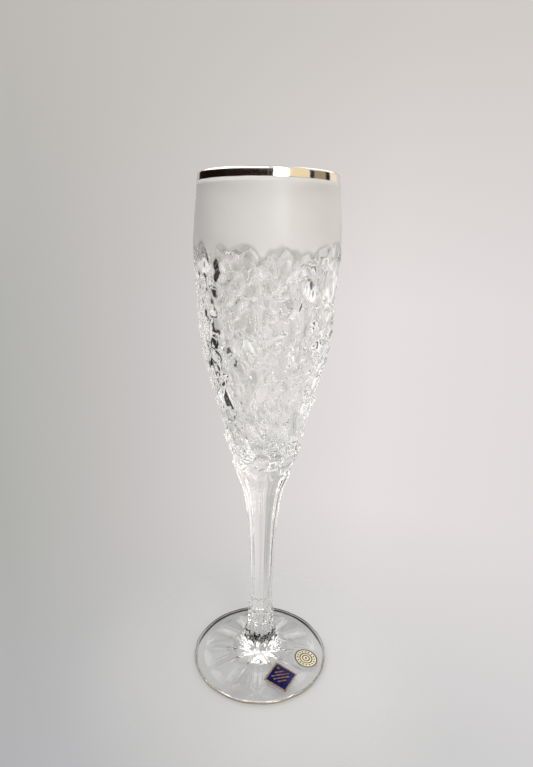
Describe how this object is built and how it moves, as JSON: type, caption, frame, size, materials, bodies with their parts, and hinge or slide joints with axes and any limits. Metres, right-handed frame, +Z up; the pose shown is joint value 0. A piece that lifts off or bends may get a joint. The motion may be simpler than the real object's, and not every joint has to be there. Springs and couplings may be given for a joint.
{
  "type": "champagne flute",
  "caption": "Crystal champagne flute with a satin upper bowl, platinum lip, chipped-ice relief, faceted solid stem with a collar, and a wide foot carrying foil labels.",
  "frame": {"origin": "on the table at the centre of the foot", "axes": "+Z up along the flute's axis, from the foot to the lip; -Y towards the viewer of the labels, +X to that viewer's right"},
  "size_m": [0.065, 0.065, 0.225],
  "materials": {
    "crystal_glass": "polished clear",
    "satin_glass": "satin, translucent",
    "platinum": "mirror",
    "blue_foil": "lacquered foil",
    "gold_foil": "lacquered foil"
  },
  "bodies": {
    "root": {"bowl": "crystal_glass", "satin_coat": "satin_glass", "rim_band": "platinum", "stem": "crystal_glass", "stem_collar": "crystal_glass", "foot": "crystal_glass", "foot_band": "platinum", "square_label": "blue_foil", "round_label": "gold_foil"}
  },
  "joints": []
}
